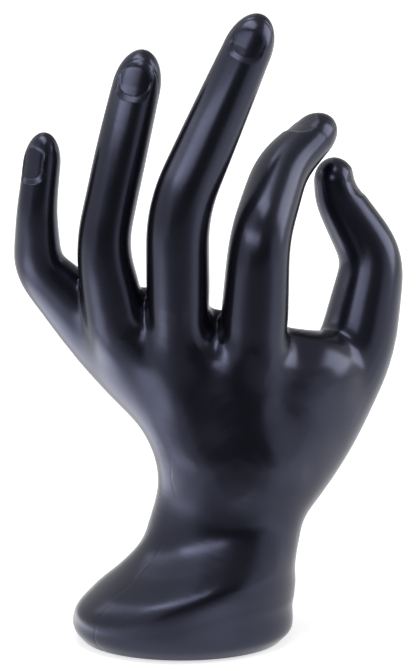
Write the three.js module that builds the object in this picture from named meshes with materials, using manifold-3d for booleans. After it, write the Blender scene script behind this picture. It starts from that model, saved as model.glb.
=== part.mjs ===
// A jewelry display hand, in millimetres and degrees. +Z is up, +X is the thumb's side and +Y the palm's.
// The origin is the middle of the foot's resting face.
// Two hollow half shells are bonded along a parting surface that runs through every finger. An oval plate,
// screwed up into bosses in both halves, closes the foot. It carries an iron bar and a rubber pad.

import * as THREE from "three";
import { mergeVertices } from "three/addons/utils/BufferGeometryUtils.js";
import Module from "manifold-3d";

const wasm = await Module();
wasm.setup();

// Height at which the wrist passes into the palm. The limbs start at their rise from it.
const PALM_BASE = 52;

// Lengths of the bones inside the palm, which set how far the hand reaches to each side
const LITTLE_METACARPAL = 48;
const RING_METACARPAL = 42;
const MIDDLE_METACARPAL = 36;
const FIRST_METACARPAL = 33;
const THUMB_METACARPAL = 28;

// Limbs. Each starts inside the wrist and follows its bones. A bone has its length, its lean from upright
// towards +X, its curl towards +Y, and the width and depth of the limb at its far joint.
// tip is the length of the rounded end, and back is the way that the nail faces.
const LITTLE_FINGER = {
  start: { x: 9.7, y: 0.7, rise: -1, width: 16, depth: 23 },
  bones: {
    metacarpal: { length: LITTLE_METACARPAL, lean: -44.6, curl: 14.2, width: 20.4, depth: 17.4 },
    proximal: { length: 23.5, lean: -43, curl: -5, width: 14, depth: 13 },
    middle: { length: 15.5, lean: 0, curl: -7, width: 11, depth: 11 },
    distal: { length: 21.5, lean: 6.5, curl: 8, width: 10, depth: 9.2 },
  },
  tip: 9,
  back: [-0.55, -0.8, 0.1],
};
const RING_FINGER = {
  start: { x: 10.2, y: -4, rise: 0.3, width: 19, depth: 18 },
  bones: {
    metacarpal: { length: RING_METACARPAL, lean: -40.3, curl: 11, width: 17, depth: 16.8 },
    proximal: { length: 24.5, lean: -11.3, curl: 0.5, width: 14.2, depth: 14.2 },
    middle: { length: 28, lean: 12.2, curl: 8, width: 13.8, depth: 13.4 },
    distal: { length: 26, lean: 13.5, curl: 13, width: 12.4, depth: 11.4 },
  },
  tip: 11,
  back: [-0.15, -0.98, 0.1],
};
const MIDDLE_FINGER = {
  start: { x: 13.2, y: -6, rise: -0.7, width: 20, depth: 19 },
  bones: {
    metacarpal: { length: MIDDLE_METACARPAL, lean: -23.2, curl: 11, width: 17.4, depth: 18 },
    proximal: { length: 34.5, lean: -0.5, curl: -2, width: 16.6, depth: 16.6 },
    middle: { length: 31.5, lean: 24, curl: 11, width: 14.5, depth: 13.8 },
    distal: { length: 26.5, lean: 24.5, curl: 15, width: 12.2, depth: 11.2 },
  },
  tip: 11,
  back: [-0.1, -0.99, 0.1],
};
const FIRST_FINGER = {
  start: { x: 17.2, y: -6, rise: -1.7, width: 20, depth: 19 },
  bones: {
    metacarpal: { length: FIRST_METACARPAL, lean: 3.5, curl: 10.5, width: 18.6, depth: 18.4 },
    proximal: { length: 28, lean: 3.2, curl: 2, width: 16.4, depth: 16.4 },
    middle: { length: 24, lean: 20.4, curl: 43, width: 15.2, depth: 14.2 },
    distal: { length: 21.6, lean: 50, curl: 34, width: 11.4, depth: 10 },
  },
  tip: 9,
  back: [-0.5, -0.35, 0.8],
};
const THUMB = {
  start: { x: 23.2, y: 2, rise: -15.5, width: 20, depth: 20 },
  bones: {
    carpal: { length: 22.7, lean: 32.1, curl: 23.4, width: 26, depth: 24 },
    metacarpal: { length: THUMB_METACARPAL, lean: 31.9, curl: 22, width: 22.6, depth: 21.6 },
    proximal: { length: 25.4, lean: 13.7, curl: 15, width: 17.2, depth: 17.2 },
    distal: { length: 20.6, lean: -33, curl: 7, width: 13.8, depth: 12.6 },
    end: { length: 10.3, lean: -4, curl: 3, width: 11.4, depth: 9.6 },
  },
  tip: 7,
  back: [0.95, -0.2, 0.2],
};
const DIGITS = [LITTLE_FINGER, RING_FINGER, MIDDLE_FINGER, FIRST_FINGER, THUMB];
const JOINT_BEND = 0.3; // share of the shorter neighbouring bone that a joint is rounded over

// The palm: a sheet of flesh between each two neighbouring limbs, from the wrist to these distances along
// them. It thins over its last part to edge, where a rounded web of this width and depth runs across, whose
// ends are slimmer by up to the share taper. The web lies sink closer to the palm's side than the limbs do,
// and flesh is what the sheet adds on that side. Only the thumb's web is hollow.
const FINGER_WEBS = {
  littleRing: {
    from: LITTLE_FINGER,
    fromAt: 50,
    to: RING_FINGER,
    toAt: 43.5,
    width: 12,
    depth: 7,
    edge: 7,
    taper: 0,
    flesh: 2,
    sink: 5,
  },
  ringMiddle: {
    from: RING_FINGER,
    fromAt: 46.5,
    to: MIDDLE_FINGER,
    toAt: 44.5,
    width: 12,
    depth: 7.5,
    edge: 7.5,
    taper: 0,
    flesh: 3.5,
    sink: 6,
  },
  middleFirst: {
    from: MIDDLE_FINGER,
    fromAt: 37,
    to: FIRST_FINGER,
    toAt: 33,
    width: 13,
    depth: 8,
    edge: 8,
    taper: 0,
    flesh: 3.5,
    sink: 6,
  },
};
const SHEET_RELIEF = 1.2; // how far a sheet's faces lie below the limbs beside it
const SHEET_THINNING = 5; // power of the share along the sheet by which it thins
const THUMB_WEB = {
  from: FIRST_FINGER,
  fromAt: 18,
  to: THUMB,
  toAt: 44,
  width: 29,
  depth: 25,
  edge: 14,
  taper: 0.5,
  flesh: 0,
  sink: -1.5,
};
const WEB_PEAK = 0.55; // share of the way across at which a web is fullest

// Foot, wrist and palm: oval sections from the rim up, with their middle and their turn from +X towards +Y
const STUMP_RISE = 14; // how far the wrist's own form reaches up into the palm
const STUMP = {
  rim: { height: 0, x: 0, y: 0, width: 53.6, depth: 43, turn: 0 },
  edge: { height: 3, x: 0.2, y: 0, width: 59, depth: 47.4, turn: 0 },
  foot: { height: 8, x: 0.8, y: 0, width: 60.2, depth: 48.4, turn: 0 },
  instep: { height: 14, x: 3.2, y: 0, width: 55.2, depth: 46.2, turn: 0 },
  flare: { height: 20.6, x: 7, y: 0, width: 47.8, depth: 39.6, turn: 0 },
  neck: { height: 27, x: 10, y: 0, width: 42.4, depth: 32.6, turn: 0 },
  wrist: { height: 34, x: 12.2, y: 0, width: 41.6, depth: 28.8, turn: 0 },
  heel: { height: 42, x: 14.2, y: -0.6, width: 41.8, depth: 27.8, turn: 0 },
  palm: { height: PALM_BASE, x: 14.2, y: -1.6, width: 42, depth: 27, turn: 0 },
  top: { height: PALM_BASE + STUMP_RISE, x: 11.2, y: -3, width: 32, depth: 15, turn: -10 },
};
// The instep is lifted at the thumb's side: fully from the far end of across, between the heights of rise and fall
const INSTEP_LIFT = 7;
const INSTEP = { across: [-16, 24], rise: [5, 18], fall: [30, 46] };

// Shell and its parting surface
const WALL = 2.2;
const SEAM_GAP = 0.3; // bond line between the halves
const SEAM_TURN = 28; // turn of the parting surface at the foot and wrist, from +X towards +Y
const SEAM_SOFTNESS = 3; // distance over which neighbouring limbs share the parting surface
const POSTS = {
  wrist: { x: 12.2, z: 32 },
  palm: { x: 7.2, z: PALM_BASE + STUMP_RISE },
};
const POST_DIAMETER = 6.4;
const PEG_DIAMETER = 3;
const PEG_LENGTH = 4;
const PEG_CLEARANCE = 0.25;

// Foot's closing plate, weight, screws and pad
const RIM = 2.6; // shell rim around the plate and pad
const PAD_PROUD = 0.5; // how far the pad stands below the rim
const PAD_THICKNESS = 2;
const PLATE_THICKNESS = 2.6;
const PLATE_CLEARANCE = 0.4;
const FACE_GAP = 0.2; // adhesive or seating gap between flat faces
const SCREW_DIAMETER = 2.8;
const SCREW_LENGTH = 10;
const SCREW_POINT = 2;
const SCREW_CLEARANCE = 0.2;
const HEAD_DIAMETER = 5.2;
const HEAD_HEIGHT = 1.6;
const HEAD_EDGE = 0.4;
const SLOT_WIDTH = 0.9;
const SLOT_DEPTH = 0.6;
const SCREW_INSET = 5; // screw axis from the plate's edge
const SCREW_SPREAD = 38; // screws lie this far to each side of the line across the parting surface
const BOSS_DIAMETER = 6.4;
const BOSS_HEIGHT = 13;
const BOSS_RIB = 1.8;
const BAR_HEIGHT = 10;
const BAR_INSET = 4; // bar's ends from the shell's inner wall
const BAR_CLEARANCE = 0.3;
const TRAY_WALL = 1.6;
const TRAY_HEIGHT = 4;
const TRAY_GAP = 0.6; // tray's outer wall to the bosses

// Facets
const LIMB_SIDES = 12;
const LIMB_STEP = 8;
const HOLLOW_SIDES = 6;
const HOLLOW_STEP = 20;
const TIP_RINGS = 3;
const STUMP_SIDES = 28;
const STUMP_STEP = 6;
const SEAM_STEP = 12;
const ROUND_SIDES = 12;

// Finishes
const GLOSS_PLASTIC = { color: 0x16161a, roughness: 0.28, metalness: 0 };
const MATT_PLASTIC = { color: 0x1b1b1e, roughness: 0.5, metalness: 0 };
const RAW_IRON = { color: 0x3a3937, roughness: 0.7, metalness: 0.9 };
const RUBBER = { color: 0x202022, roughness: 0.85, metalness: 0 };
const PLATED_STEEL = { color: 0xb4b6ba, roughness: 0.35, metalness: 1 };

const turn = THREE.MathUtils.degToRad;
const far = 300; // well outside the hand, for what cuts right through
const samePoint = 1e-4; // points closer than this are one

const plateBottom = PAD_THICKNESS + FACE_GAP;
const plateTop = plateBottom + PLATE_THICKNESS;
const bossBottom = plateTop + FACE_GAP;
const barBottom = plateTop + FACE_GAP;
const barTop = barBottom + BAR_HEIGHT;

// Smooth curve through values at rising knots, its slopes weighted by the spacing
function smooth(knots, values, at) {
  const last = knots.length - 1;
  const slope = (i) => (values[i + 1] - values[i]) / (knots[i + 1] - knots[i]);
  const tangent = (i) => {
    if (i === 0) return slope(0);
    if (i === last) return slope(last - 1);
    const before = knots[i] - knots[i - 1];
    const after = knots[i + 1] - knots[i];
    return (slope(i - 1) * after + slope(i) * before) / (before + after);
  };
  let i = 0;
  while (i < last - 1 && at > knots[i + 1]) i += 1;
  const span = knots[i + 1] - knots[i];
  const t = (at - knots[i]) / span;
  const bow = (1 - t) * tangent(i) - t * tangent(i + 1);
  return values[i] + (values[i + 1] - values[i]) * t * t * (3 - 2 * t) + span * t * (1 - t) * bow;
}

function solid(geometry) {
  const bare = new THREE.BufferGeometry();
  bare.setAttribute("position", geometry.getAttribute("position"));
  bare.setIndex(geometry.getIndex());
  const merged = mergeVertices(bare, samePoint);
  const vertProperties = new Float32Array(merged.getAttribute("position").array);
  const triVerts = new Uint32Array(merged.getIndex().array);
  return new wasm.Manifold(new wasm.Mesh({ numProp: 3, vertProperties, triVerts }));
}

// Closed skin over rings of points that run anticlockwise about the way they advance, with a point at
// each end
function skin(rings, first, last) {
  const sides = rings[0].length;
  const points = [...rings.flat(), first, last];
  const firstPole = points.length - 2;
  const lastPole = points.length - 1;
  const index = [];
  for (let j = 0; j < sides; j += 1) {
    const k = (j + 1) % sides;
    for (let i = 0; i < rings.length - 1; i += 1) {
      const low = i * sides;
      const high = low + sides;
      index.push(low + j, low + k, high + k, low + j, high + k, high + j);
    }
    const top = (rings.length - 1) * sides;
    index.push(firstPole, k, j, lastPole, top + j, top + k);
  }
  const geometry = new THREE.BufferGeometry().setFromPoints(points);
  geometry.setIndex(index);
  return solid(geometry);
}

function ovalRing(middle, across, up, halfWidth, halfDepth, sides) {
  return Array.from({ length: sides }, (_, j) => {
    const angle = (2 * Math.PI * j) / sides;
    return middle
      .clone()
      .addScaledVector(across, halfWidth * Math.cos(angle))
      .addScaledVector(up, halfDepth * Math.sin(angle));
  });
}

function limbPath(limb) {
  const { x, y, rise } = limb.start;
  const points = [new THREE.Vector3(x, y, PALM_BASE + rise)];
  const bones = Object.values(limb.bones);
  for (const bone of bones) {
    const lean = turn(bone.lean);
    const curl = turn(bone.curl);
    const way = new THREE.Vector3(Math.sin(lean), 0, Math.cos(lean)).multiplyScalar(Math.cos(curl));
    way.y = Math.sin(curl);
    points.push(points.at(-1).clone().addScaledVector(way, bone.length));
  }
  const path = new THREE.CurvePath();
  let from = points[0];
  for (let i = 1; i < points.length - 1; i += 1) {
    const before = bones[i - 1].length;
    const after = bones[i].length;
    const bend = JOINT_BEND * Math.min(before, after);
    const enter = points[i].clone().lerp(points[i - 1], bend / before);
    const leave = points[i].clone().lerp(points[i + 1], bend / after);
    path.add(new THREE.LineCurve3(from, enter));
    path.add(new THREE.QuadraticBezierCurve3(enter, points[i], leave));
    from = leave;
  }
  path.add(new THREE.LineCurve3(from, points.at(-1)));
  return path;
}

// A limb's centre line with the distance along it of each joint, in the middle of that joint's bend
function tubeOfLimb(limb) {
  const path = limbPath(limb);
  const ends = path.getCurveLengths();
  const girths = [limb.start, ...Object.values(limb.bones)];
  const joints = girths.slice(2).map((_, i) => (ends[2 * i] + ends[2 * i + 1]) / 2);
  return {
    path,
    length: ends.at(-1),
    stations: [0, ...joints, ends.at(-1)],
    widths: girths.map((girth) => girth.width),
    depths: girths.map((girth) => girth.depth),
    tip: limb.tip,
    back: new THREE.Vector3(...limb.back),
  };
}

const tubes = new Map(DIGITS.map((limb) => [limb, tubeOfLimb(limb)]));

function pointAlong(limb, distance) {
  const tube = tubes.get(limb);
  return tube.path.getPoint(distance / tube.length);
}

// The line across a sheet at a share of its length, sunk towards the palm, with the way its back faces and
// its depth there. The sheet's end is drawn in by inset.
function acrossSheet(web, share, inset) {
  const [from, to] = [tubes.get(web.from), tubes.get(web.to)];
  const fromAt = share * (web.fromAt - inset);
  const toAt = share * (web.toAt - inset);
  const [a, b] = [pointAlong(web.from, fromAt), pointAlong(web.to, toAt)];
  const along = from.path.getTangent(fromAt / from.length).add(to.path.getTangent(toAt / to.length));
  const back = b.clone().sub(a).cross(along).normalize();
  const thinned = share ** SHEET_THINNING;
  for (const end of [a, b]) end.addScaledVector(back, -web.sink * thinned);
  const limbDepth = smooth(from.stations, from.depths, fromAt) + smooth(to.stations, to.depths, toAt);
  return { a, b, back, thinned, depth: THREE.MathUtils.lerp(limbDepth / 2, web.edge, thinned) };
}

function tubeOfWeb(web) {
  const { a, b } = acrossSheet(web, 1, 0);
  const path = new THREE.LineCurve3(a, b);
  const length = path.getLength();
  const shares = [0, WEB_PEAK / 2, WEB_PEAK, (1 + WEB_PEAK) / 2, 1];
  const fullness = shares.map((share) => 1 - web.taper * (share / WEB_PEAK - 1) ** 2);
  return {
    path,
    length,
    stations: shares.map((share) => share * length),
    widths: fullness.map((full) => full * web.width),
    depths: fullness.map((full) => full * web.depth),
    tip: 0,
    back: new THREE.Vector3(0, -1, 0),
  };
}

// A tube's solid, or its hollow when inset by the wall. The end closes over tip as a quarter of an oval.
function tubeSolid(tube, inset, step, sides) {
  const { path, length, stations, widths, depths } = tube;
  const round = Math.max(0, tube.tip - inset);
  const bodyEnd = length - tube.tip;
  const steps = Math.ceil(bodyEnd / step);
  const places = Array.from({ length: steps + 1 }, (_, i) => ({ at: (bodyEnd * i) / steps, share: 1 }));
  for (let i = 1; i < TIP_RINGS && round > 0; i += 1) {
    const angle = (Math.PI / 2) * (i / TIP_RINGS);
    places.push({ at: bodyEnd + round * Math.sin(angle), share: Math.cos(angle) });
  }
  const rings = places.map(({ at, share }) => {
    const along = path.getTangent(at / length);
    const across = tube.back.clone().cross(along).normalize();
    const up = along.clone().cross(across);
    const halfWidth = share * (smooth(stations, widths, at) / 2 - inset);
    const halfDepth = share * (smooth(stations, depths, at) / 2 - inset);
    return ovalRing(path.getPoint(at / length), across, up, halfWidth, halfDepth, sides);
  });
  return skin(rings, path.getPoint(0), path.getPoint((bodyEnd + round) / length));
}

// A sheet's solid, or its hollow when inset by the wall
function sheetSolid(web, inset) {
  const steps = Math.ceil((Math.max(web.fromAt, web.toAt) - inset) / LIMB_STEP);
  const middles = [];
  const rings = [];
  for (let i = 0; i <= steps; i += 1) {
    const { a, b, back, thinned, depth } = acrossSheet(web, i / steps, inset);
    const half = depth / 2 - SHEET_RELIEF - inset;
    const palmHalf = half + web.flesh * (1 - thinned);
    middles.push(a.clone().lerp(b, 1 / 2));
    rings.push([
      a.clone().addScaledVector(back, half),
      b.clone().addScaledVector(back, half),
      b.clone().addScaledVector(back, -palmHalf),
      a.clone().addScaledVector(back, -palmHalf),
    ]);
  }
  return skin(rings, middles[0], middles.at(-1));
}

const stumpSections = Object.values(STUMP);
const stumpHeights = stumpSections.map((section) => section.height);

function stumpSection(height) {
  const value = (key) => smooth(stumpHeights, stumpSections.map((section) => section[key]), height);
  const angle = turn(value("turn"));
  return {
    middle: new THREE.Vector3(value("x"), value("y"), height),
    across: new THREE.Vector3(Math.cos(angle), Math.sin(angle), 0),
    up: new THREE.Vector3(-Math.sin(angle), Math.cos(angle), 0),
    halfWidth: value("width") / 2,
    halfDepth: value("depth") / 2,
  };
}

function liftInstep(point) {
  const share = (range, value) => THREE.MathUtils.smoothstep(value, ...range);
  const height = share(INSTEP.rise, point.z) * (1 - share(INSTEP.fall, point.z));
  point.z += INSTEP_LIFT * height * share(INSTEP.across, point.x);
}

function stumpSolid(low, high, inset) {
  const steps = Math.ceil((high - low) / STUMP_STEP);
  const sections = [];
  for (let i = 0; i <= steps; i += 1) sections.push(stumpSection(low + ((high - low) * i) / steps));
  const rings = sections.map((s) =>
    ovalRing(s.middle, s.across, s.up, s.halfWidth - inset, s.halfDepth - inset, STUMP_SIDES),
  );
  rings.flat().forEach(liftInstep);
  return skin(rings, sections[0].middle, sections.at(-1).middle);
}

// The foot's axis, and how far from it the outer surface lies in one direction, at its least between two
// heights
const footAxis = stumpSection(0).middle;

function footReach(angle, low, high) {
  const steps = Math.ceil((high - low) / STUMP_STEP);
  const reaches = Array.from({ length: steps + 1 }, (_, i) => {
    const { middle, halfWidth, halfDepth } = stumpSection(low + ((high - low) * i) / steps);
    const startX = (footAxis.x - middle.x) / halfWidth;
    const startY = (footAxis.y - middle.y) / halfDepth;
    const wayX = Math.cos(angle) / halfWidth;
    const wayY = Math.sin(angle) / halfDepth;
    const a = wayX ** 2 + wayY ** 2;
    const b = startX * wayX + startY * wayY;
    const c = startX ** 2 + startY ** 2 - 1;
    return (Math.sqrt(b ** 2 - a * c) - b) / a;
  });
  return Math.min(...reaches);
}

function fromFootAxis(distance, angle, height) {
  return new THREE.Vector3(
    footAxis.x + distance * Math.cos(angle),
    footAxis.y + distance * Math.sin(angle),
    height,
  );
}

// An upright prism whose outline lies inside the foot's surface by inset
function ovalPrism(inset, low, high) {
  const ringAt = (height) =>
    Array.from({ length: STUMP_SIDES }, (_, j) => {
      const angle = (2 * Math.PI * j) / STUMP_SIDES;
      return fromFootAxis(footReach(angle, 0, plateTop) - inset, angle, height);
    });
  return skin([ringAt(low), ringAt(high)], fromFootAxis(0, 0, low), fromFootAxis(0, 0, high));
}

function upright(diameter, low, high, x, y) {
  const geometry = new THREE.CylinderGeometry(diameter / 2, diameter / 2, high - low, ROUND_SIDES);
  geometry.rotateX(Math.PI / 2);
  geometry.translate(x, y, (low + high) / 2);
  return solid(geometry);
}

function crosswise(diameter, front, rear, x, z) {
  const geometry = new THREE.CylinderGeometry(diameter / 2, diameter / 2, rear - front, ROUND_SIDES);
  geometry.translate(x, (front + rear) / 2, z);
  return solid(geometry);
}

// A box turned about the foot's axis, from inner to outer along the angle
function footBox(angle, inner, outer, width, low, high) {
  const geometry = new THREE.BoxGeometry(outer - inner, width, high - low);
  geometry.translate((inner + outer) / 2, 0, (low + high) / 2);
  geometry.rotateZ(angle);
  geometry.translate(footAxis.x, footAxis.y, 0);
  return solid(geometry);
}

// The parting surface: its depth is the mean of the nearby limbs' centre lines and the wrist's turned
// middle
const seamPoints = [...tubes.values()].flatMap(({ path, length }) => {
  const steps = Math.ceil(length / LIMB_STEP);
  return Array.from({ length: steps + 1 }, (_, i) => path.getPoint(i / steps));
});
for (const height of stumpHeights.filter((value) => value <= PALM_BASE)) {
  const { middle, halfWidth } = stumpSection(height);
  for (const side of [-1, 0, 1]) {
    const offset = new THREE.Vector3(side, side * Math.tan(turn(SEAM_TURN)), 0);
    seamPoints.push(middle.clone().addScaledVector(offset, halfWidth));
  }
}

function seamDepth(x, z) {
  let total = 0;
  let weights = 0;
  for (const point of seamPoints) {
    const apart = (point.x - x) ** 2 + (point.z - z) ** 2 + SEAM_SOFTNESS ** 2;
    total += point.y / apart ** 2;
    weights += 1 / apart ** 2;
  }
  return total / weights;
}

// Everything on the back's side of the parting surface, moved by shift along +Y, over the box that holds
// the hand
function backSide(box, shift) {
  const columns = Math.ceil((box.max.x - box.min.x) / SEAM_STEP) + 2;
  const rows = Math.ceil((box.max.z - box.min.z) / SEAM_STEP) + 2;
  const points = [];
  for (let i = 0; i <= rows; i += 1) {
    for (let j = 0; j <= columns; j += 1) {
      const x = box.min.x + (j - 1) * SEAM_STEP;
      const z = box.min.z + (i - 1) * SEAM_STEP;
      points.push(new THREE.Vector3(x, seamDepth(x, z) + shift, z));
    }
  }
  const seamCount = points.length;
  points.push(...points.map(({ x, z }) => new THREE.Vector3(x, -far, z)));
  const index = [];
  const quad = (a, b, c, d) => index.push(a, b, c, a, c, d);
  const at = (i, j) => i * (columns + 1) + j;
  for (let i = 0; i < rows; i += 1) {
    for (let j = 0; j < columns; j += 1) {
      const [a, b, c, d] = [at(i, j), at(i + 1, j), at(i + 1, j + 1), at(i, j + 1)];
      quad(a, b, c, d);
      quad(seamCount + a, seamCount + d, seamCount + c, seamCount + b);
    }
  }
  const edge = [];
  for (let j = 0; j < columns; j += 1) edge.push(at(0, j));
  for (let i = 0; i < rows; i += 1) edge.push(at(i, columns));
  for (let j = columns; j > 0; j -= 1) edge.push(at(rows, j));
  for (let i = rows; i > 0; i -= 1) edge.push(at(i, 0));
  edge.forEach((a, n) => {
    const b = edge[(n + 1) % edge.length];
    quad(a, b, seamCount + b, seamCount + a);
  });
  const geometry = new THREE.BufferGeometry().setFromPoints(points);
  geometry.setIndex(index);
  return solid(geometry);
}

const seamAngle = turn(SEAM_TURN);
const screws = [-1, 1].flatMap((side) =>
  [-1, 1].map((lean) => {
    const angle = seamAngle + (side * Math.PI) / 2 + lean * turn(SCREW_SPREAD);
    const distance = footReach(angle, 0, plateTop) - RIM - PLATE_CLEARANCE - SCREW_INSET;
    const { x, y } = fromFootAxis(distance, angle, 0);
    return { angle, distance, x, y };
  }),
);

const barHalfLength =
  Math.min(footReach(seamAngle, 0, barTop), footReach(seamAngle + Math.PI, 0, barTop)) - WALL - BAR_INSET;
const bossRoom = Math.min(...screws.map((s) => s.distance * Math.abs(Math.sin(s.angle - seamAngle))));
const barHalfWidth = bossRoom - BOSS_DIAMETER / 2 - TRAY_GAP - TRAY_WALL - BAR_CLEARANCE;

const fingerWebs = Object.values(FINGER_WEBS);
const webs = [...fingerWebs, THUMB_WEB];
const hollowTubes = [...tubes.values(), tubeOfWeb(THUMB_WEB)];
const skinTubes = [...hollowTubes, ...fingerWebs.map(tubeOfWeb)];
const stumpTop = stumpHeights.at(-1);

function shellHalves() {
  let outside = stumpSolid(PAD_PROUD, stumpTop, 0);
  let hollow = stumpSolid(plateBottom, stumpTop - WALL, WALL);
  hollow = hollow.add(ovalPrism(RIM, -far, plateTop));
  for (const tube of skinTubes) {
    outside = outside.add(tubeSolid(tube, 0, LIMB_STEP, LIMB_SIDES));
  }
  for (const tube of hollowTubes) {
    hollow = hollow.add(tubeSolid(tube, WALL, HOLLOW_STEP, HOLLOW_SIDES));
  }
  for (const web of webs) {
    outside = outside.add(sheetSolid(web, 0));
    hollow = hollow.add(sheetSolid(web, WALL));
  }
  for (const { x, y, angle, distance } of screws) {
    const bossTop = bossBottom + BOSS_HEIGHT;
    hollow = hollow.subtract(upright(BOSS_DIAMETER, bossBottom, bossTop, x, y));
    hollow = hollow.subtract(footBox(angle, distance, far, BOSS_RIB, bossBottom, bossTop));
  }
  for (const { x, z } of Object.values(POSTS)) {
    hollow = hollow.subtract(crosswise(POST_DIAMETER, -far, far, x, z));
  }
  let shell = outside.subtract(hollow);
  for (const { x, y } of screws) {
    const boreTop = plateBottom + SCREW_LENGTH + SCREW_CLEARANCE;
    shell = shell.subtract(upright(SCREW_DIAMETER + 2 * SCREW_CLEARANCE, plateTop, boreTop, x, y));
  }
  const box = new THREE.Box3().setFromArray(shell.getMesh().vertProperties);
  let back = shell.intersect(backSide(box, -SEAM_GAP / 2));
  let palm = shell.subtract(backSide(box, SEAM_GAP / 2));
  for (const { x, z } of Object.values(POSTS)) {
    const seam = seamDepth(x, z);
    const root = seam - PEG_LENGTH;
    const socketEnd = seam + PEG_LENGTH + PEG_CLEARANCE;
    back = back.add(crosswise(PEG_DIAMETER, root, seam + PEG_LENGTH, x, z));
    palm = palm.subtract(crosswise(PEG_DIAMETER + 2 * PEG_CLEARANCE, root, socketEnd, x, z));
  }
  return { back, palm };
}

// A screw turned about +Z from its head up, grown by clearance, with its point at top
function screwProfile({ x, y }, clearance, low, shankTop, top) {
  const head = HEAD_DIAMETER / 2 + clearance;
  const shank = SCREW_DIAMETER / 2 + clearance;
  const corners = [
    [0, low],
    [head, low],
    [head, plateBottom + HEAD_EDGE],
    [shank, plateBottom + HEAD_HEIGHT],
    [shank, shankTop],
    [0, top],
  ];
  const points = corners.map(([radius, height]) => new THREE.Vector2(radius, height));
  const geometry = new THREE.LatheGeometry(points, ROUND_SIDES);
  geometry.rotateX(Math.PI / 2);
  geometry.translate(x, y, 0);
  return solid(geometry);
}

function screwSolid(screw) {
  const top = plateBottom + SCREW_LENGTH;
  const slot = new THREE.BoxGeometry(2 * HEAD_DIAMETER, SLOT_WIDTH, 2 * SLOT_DEPTH);
  slot.rotateZ(screw.angle);
  slot.translate(screw.x, screw.y, plateBottom);
  return screwProfile(screw, 0, plateBottom, top - SCREW_POINT, top).subtract(solid(slot));
}

function baseTray() {
  let plate = ovalPrism(RIM + PLATE_CLEARANCE, plateBottom, plateTop);
  const trayLength = barHalfLength + BAR_CLEARANCE;
  const trayWidth = 2 * (barHalfWidth + BAR_CLEARANCE);
  const trayTop = plateTop + TRAY_HEIGHT;
  const wall = TRAY_WALL;
  const wallEnd = trayLength + wall;
  const wallWidth = trayWidth + 2 * wall;
  const outer = footBox(seamAngle, -wallEnd, wallEnd, wallWidth, plateBottom + wall / 2, trayTop);
  const inner = footBox(seamAngle, -trayLength, trayLength, trayWidth, plateTop, trayTop + TRAY_HEIGHT);
  plate = plate.add(outer).subtract(inner);
  for (const screw of screws) {
    const holeBottom = plateBottom - PAD_THICKNESS;
    plate = plate.subtract(screwProfile(screw, SCREW_CLEARANCE, holeBottom, bossBottom, bossBottom));
  }
  return plate;
}

function mesh(name, body, finish) {
  const { vertProperties, triVerts } = body.getMesh();
  const geometry = new THREE.BufferGeometry();
  geometry.setAttribute("position", new THREE.BufferAttribute(vertProperties, 3));
  geometry.setIndex(new THREE.BufferAttribute(triVerts, 1));
  geometry.computeVertexNormals();
  const piece = new THREE.Mesh(geometry, new THREE.MeshStandardMaterial(finish));
  piece.name = name;
  return piece;
}

const hand = new THREE.Group();
hand.name = "jewelry_display_hand";
const { back, palm } = shellHalves();
const bar = footBox(seamAngle, -barHalfLength, barHalfLength, 2 * barHalfWidth, barBottom, barTop);
hand.add(mesh("back_shell", back, GLOSS_PLASTIC));
hand.add(mesh("palm_shell", palm, GLOSS_PLASTIC));
hand.add(mesh("base_plate", baseTray(), MATT_PLASTIC));
hand.add(mesh("ballast_bar", bar, RAW_IRON));
hand.add(mesh("base_pad", ovalPrism(RIM + PLATE_CLEARANCE, 0, PAD_THICKNESS), RUBBER));
screws.forEach((screw, i) => {
  hand.add(mesh(`base_screw_${i + 1}`, screwSolid(screw), PLATED_STEEL));
});

export default hand;
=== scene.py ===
import bpy
import math
import numpy as np
from mathutils import Matrix, Vector


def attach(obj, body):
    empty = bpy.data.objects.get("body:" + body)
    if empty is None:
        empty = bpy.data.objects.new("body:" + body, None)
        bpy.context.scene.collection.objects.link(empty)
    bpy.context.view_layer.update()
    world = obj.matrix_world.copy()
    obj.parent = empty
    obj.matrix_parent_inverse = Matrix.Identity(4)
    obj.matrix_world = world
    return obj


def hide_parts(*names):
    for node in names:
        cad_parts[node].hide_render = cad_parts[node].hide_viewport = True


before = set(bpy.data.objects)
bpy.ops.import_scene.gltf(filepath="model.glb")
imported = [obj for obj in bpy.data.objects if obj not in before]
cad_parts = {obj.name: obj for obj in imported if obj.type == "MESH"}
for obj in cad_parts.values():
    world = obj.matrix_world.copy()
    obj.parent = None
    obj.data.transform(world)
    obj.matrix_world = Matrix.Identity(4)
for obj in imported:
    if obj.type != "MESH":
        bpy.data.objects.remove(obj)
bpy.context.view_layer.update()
print("frame loaded")

metre = 0.001  # shapes are worked out in millimetres
tiny = 1e-6  # keeps divisions from zero
least = 1e-3  # the same for slopes and fillets


# Camera at the photograph's height and distance
shot = {"target": (0.0071, 0.0, 0.0845), "distance": 0.8, "elevation": 12.0, "pixelsHigh": 671,
        "mmPerPixel": 0.268, "sensor": 36.0, "nearest": 0.01}


def placeCamera():
    data = bpy.data.cameras.new("shotCamera")
    data.sensor_fit = "VERTICAL"
    data.sensor_height = shot["sensor"]
    data.lens = shot["distance"] / (shot["pixelsHigh"] * shot["mmPerPixel"] * metre) * data.sensor_height
    data.clip_start = shot["nearest"]
    camera = bpy.data.objects.new("shotCamera", data)
    rise = math.radians(shot["elevation"])
    target = Vector(shot["target"])
    camera.location = target + shot["distance"] * Vector((0.0, -math.cos(rise), math.sin(rise)))
    camera.rotation_euler = (target - camera.location).to_track_quat("-Z", "Y").to_euler()
    bpy.context.collection.objects.link(camera)
    bpy.context.scene.camera = camera


placeCamera()
print("camera placed")


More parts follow.
